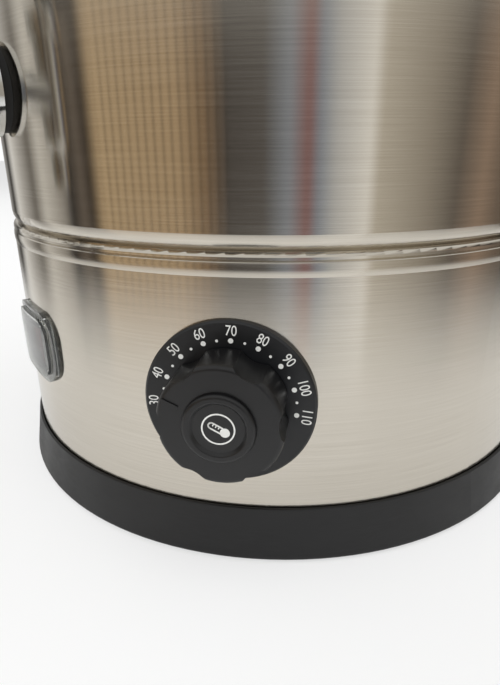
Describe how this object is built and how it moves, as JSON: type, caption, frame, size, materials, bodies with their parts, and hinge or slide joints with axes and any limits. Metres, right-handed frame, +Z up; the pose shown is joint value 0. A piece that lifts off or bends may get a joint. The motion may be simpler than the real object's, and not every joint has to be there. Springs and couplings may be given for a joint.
{
  "type": "hot water urn",
  "caption": "Round steel hot water urn with a boiling pot on a skirt, front tap, rocker switch, thermostat dial and knob, side handles and a lift-off lid.",
  "frame": {"origin": "on the body's axis at the table's surface, under the rubber foot ring", "axes": "+Z up the body's axis; -Y is the front, where the tap and the switch are; +X is the right side seen from the front"},
  "size_m": [0.3774, 0.4185, 0.4481],
  "materials": {
    "brushed_shell": "brushed round the body",
    "bright_steel": "polished",
    "plain_steel": "zinc plated",
    "base_plastic": "satin moulded",
    "dial_plastic": "satin moulded",
    "knob_plastic": "satin moulded",
    "handle_plastic": "satin moulded",
    "switch_plastic": "satin moulded",
    "red_plastic": "gloss",
    "clear_silicone": "translucent",
    "black_rubber": "matt",
    "white_silicone": "matt",
    "aluminium_plate": "cast",
    "brass": "turned",
    "copper_tube": "drawn",
    "block_plastic": "moulded",
    "case_plastic": "phenolic"
  },
  "bodies": {
    "urn_body": {"base_ring": "base_plastic", "foot_ring": "black_rubber", "bottom_plate": "plain_steel", "base_screws": "plain_steel", "base_nuts": "plain_steel", "skirt_shell": "brushed_shell", "boiling_pot": "brushed_shell", "pot_studs": "plain_steel", "pot_nuts": "plain_steel", "heat_plate": "aluminium_plate", "heating_element": "plain_steel", "thermal_cutout": "case_plastic", "thermostat_bracket": "plain_steel", "thermostat_body": "case_plastic", "thermostat_screws": "plain_steel", "thermostat_bulb": "copper_tube", "bulb_clip": "plain_steel", "capillary_tube": "copper_tube", "dial_plate": "dial_plastic", "switch_housing": "switch_plastic", "switch_terminals": "brass", "switch_cover": "clear_silicone", "gland_body": "handle_plastic", "gland_dome_nut": "handle_plastic", "gland_seal": "black_rubber", "gland_lock_nut": "handle_plastic", "terminal_block": "block_plastic", "terminal_screws": "brass", "earth_stud": "brass", "tap_outer_seal": "black_rubber", "tap_inner_seal": "white_silicone", "tap_lock_nut": "bright_steel", "tap_body": "bright_steel", "tap_bonnet": "bright_steel", "tap_lever_pin": "bright_steel", "tap_spring": "bright_steel", "left_handle": "handle_plastic", "right_handle": "handle_plastic", "handle_washers": "white_silicone", "handle_screws": "bright_steel"},
    "knob": {"thermostat_spindle": "plain_steel", "thermostat_knob": "knob_plastic", "knob_cap": "knob_plastic"},
    "rocker": {"rocker_button": "red_plastic"},
    "lever": {"tap_lever": "handle_plastic"},
    "stem": {"tap_stem": "bright_steel", "stem_head": "bright_steel", "valve_cup": "white_silicone"},
    "lid": {"lid": "brushed_shell", "lid_knob": "handle_plastic", "lid_knob_washer": "plain_steel", "lid_knob_screw": "bright_steel"}
  },
  "joints": [
    {"name": "lid_lift", "type": "slide", "parent": "urn_body", "child": "lid", "axis": [0, 0, 1], "range_m": [0, 0.09]},
    {"name": "knob_turn", "type": "hinge", "parent": "urn_body", "child": "knob", "pos_m": [0.10746, -0.10465, 0.0695], "axis": [0.7164, -0.6977, 0], "range_deg": [-159, 27]},
    {"name": "rocker_tilt", "type": "hinge", "parent": "urn_body", "child": "rocker", "pos_m": [0, -0.133, 0.0738], "axis": [0, 0, 1], "range_deg": [0, 12]},
    {"name": "lever_press", "type": "hinge", "parent": "urn_body", "child": "lever", "pos_m": [0, -0.201, 0.221], "axis": [1, 0, 0], "range_deg": [0, 25], "stiffness_Nm_per_rad": 0.15, "springref_deg": -20.05},
    {"name": "stem_lift", "type": "slide", "parent": "urn_body", "child": "stem", "axis": [0, 0, 1], "range_m": [0, 0.00475], "deforming": ["tap_spring"]}
  ],
  "couplings": [
    {"joint": "lever_press", "follows": "stem_lift", "rad_per_m": 90.9}
  ]
}
